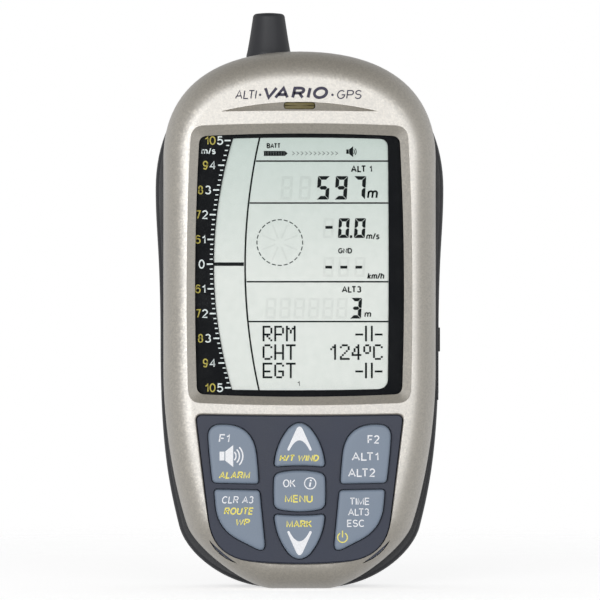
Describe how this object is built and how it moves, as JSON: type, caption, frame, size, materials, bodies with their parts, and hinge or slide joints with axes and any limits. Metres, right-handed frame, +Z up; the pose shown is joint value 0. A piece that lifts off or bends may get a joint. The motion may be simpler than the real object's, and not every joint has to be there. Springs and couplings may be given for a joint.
{
  "type": "portable aviation gps",
  "caption": "Hand-held flight instrument: tall lit screen with a curved climb scale, sprung keypad, stub antenna, sliding battery door and hinged socket cover.",
  "frame": {"origin": "middle of the bottom end, on the flat foot that the instrument stands on", "axes": "+Z up through the screen to the antenna; the screen faces -Y and the battery door +Y; +X is on the right of a pilot who faces the screen"},
  "size_m": [0.0954, 0.0399, 0.1906],
  "materials": {
    "painted_shell": "champagne-silver metallic lacquer over moulded plastic, satin",
    "dark_shell": "fine-grained moulded plastic",
    "black_rubber": "matt moulded rubber",
    "clear_lens": "clear acrylic, polished",
    "scale_print": "black print behind the lens",
    "lcd_glass": "reflective liquid-crystal glass",
    "diffuser": "white light guide",
    "white_plastic": "plain moulded plastic",
    "light_pipe": "olive tinted light pipe",
    "keypad_panel": "dark slate, matt",
    "key_silicone": "blue-grey coated silicone, satin",
    "spring_steel": "snap domes on a film",
    "circuit_board": "green solder resist on glass fibre",
    "tinned_metal": "tinned sheet",
    "chip_black": "black moulding",
    "cell_wrap": "printed wrap on a steel can",
    "red_wire": "insulated wire",
    "black_wire": "insulated wire",
    "brass": "machined insert",
    "screw_steel": "dark plated, hexagon socket"
  },
  "bodies": {
    "housing": {"front_shell": "painted_shell", "rear_shell": "dark_shell", "case_seal": "black_rubber", "screen_lens": "clear_lens", "scale_mask": "scale_print", "lens_gasket": "black_rubber", "lcd_panel": "lcd_glass", "lcd_backlight": "diffuser", "lcd_frame": "white_plastic", "indicator_lens": "light_pipe", "keypad_panel": "keypad_panel", "keypad_mat": "key_silicone", "dome_sheet": "spring_steel", "main_board": "circuit_board", "gps_receiver": "tinned_metal", "processor_chip": "chip_black", "pressure_sensor": "tinned_metal", "antenna_cap": "dark_shell", "antenna_element": "white_plastic", "antenna_seal": "black_rubber", "antenna_lead": "black_wire", "battery_tray": "dark_shell", "battery_cell_1": "cell_wrap", "battery_cell_2": "cell_wrap", "battery_cell_3": "cell_wrap", "battery_cell_4": "cell_wrap", "contact_upper_left": "tinned_metal", "contact_upper_right": "tinned_metal", "contact_lower_middle": "tinned_metal", "contact_lower_left": "tinned_metal", "contact_lower_right": "tinned_metal", "battery_lead_red": "red_wire", "battery_lead_black": "black_wire", "socket_board": "circuit_board", "charging_socket": "chip_black", "data_socket": "tinned_metal", "sensor_socket": "chip_black", "speaker": "chip_black", "bracket_insert_left": "brass", "bracket_insert_right": "brass", "case_screw_1": "screw_steel", "case_screw_2": "screw_steel", "case_screw_3": "screw_steel", "case_screw_4": "screw_steel", "case_screw_5": "screw_steel", "case_screw_6": "screw_steel", "board_screw_1": "screw_steel", "board_screw_2": "screw_steel", "board_screw_3": "screw_steel", "board_screw_4": "screw_steel"},
    "alarm_button": {"key_alarm": "key_silicone"},
    "up_button": {"key_up": "key_silicone"},
    "altitude_button": {"key_altitude": "key_silicone"},
    "route_button": {"key_route": "key_silicone"},
    "menu_button": {"key_menu": "key_silicone"},
    "down_button": {"key_down": "key_silicone"},
    "power_button": {"key_power": "key_silicone"},
    "door": {"battery_door": "dark_shell"},
    "cover": {"socket_cover": "black_rubber"}
  },
  "joints": [
    {"name": "alarm_press", "type": "slide", "parent": "housing", "child": "alarm_button", "axis": [0, 1, 0], "range_m": [0, 0.0011], "stiffness_N_per_m": 1500},
    {"name": "up_press", "type": "slide", "parent": "housing", "child": "up_button", "axis": [0, 1, 0], "range_m": [0, 0.0011], "stiffness_N_per_m": 1500},
    {"name": "altitude_press", "type": "slide", "parent": "housing", "child": "altitude_button", "axis": [0, 1, 0], "range_m": [0, 0.0011], "stiffness_N_per_m": 1500},
    {"name": "route_press", "type": "slide", "parent": "housing", "child": "route_button", "axis": [0, 1, 0], "range_m": [0, 0.0011], "stiffness_N_per_m": 1500},
    {"name": "menu_press", "type": "slide", "parent": "housing", "child": "menu_button", "axis": [0, 1, 0], "range_m": [0, 0.0011], "stiffness_N_per_m": 1500},
    {"name": "down_press", "type": "slide", "parent": "housing", "child": "down_button", "axis": [0, 1, 0], "range_m": [0, 0.0011], "stiffness_N_per_m": 1500},
    {"name": "power_press", "type": "slide", "parent": "housing", "child": "power_button", "axis": [0, 1, 0], "range_m": [0, 0.0011], "stiffness_N_per_m": 1500},
    {"name": "door_slide", "type": "slide", "parent": "housing", "child": "door", "axis": [0, 0, -1], "range_m": [0, 0.066]},
    {"name": "cover_hinge", "type": "hinge", "parent": "housing", "child": "cover", "pos_m": [0.0453, 0.0092, 0.082], "axis": [0, 0, 1], "range_deg": [0, 100]}
  ]
}
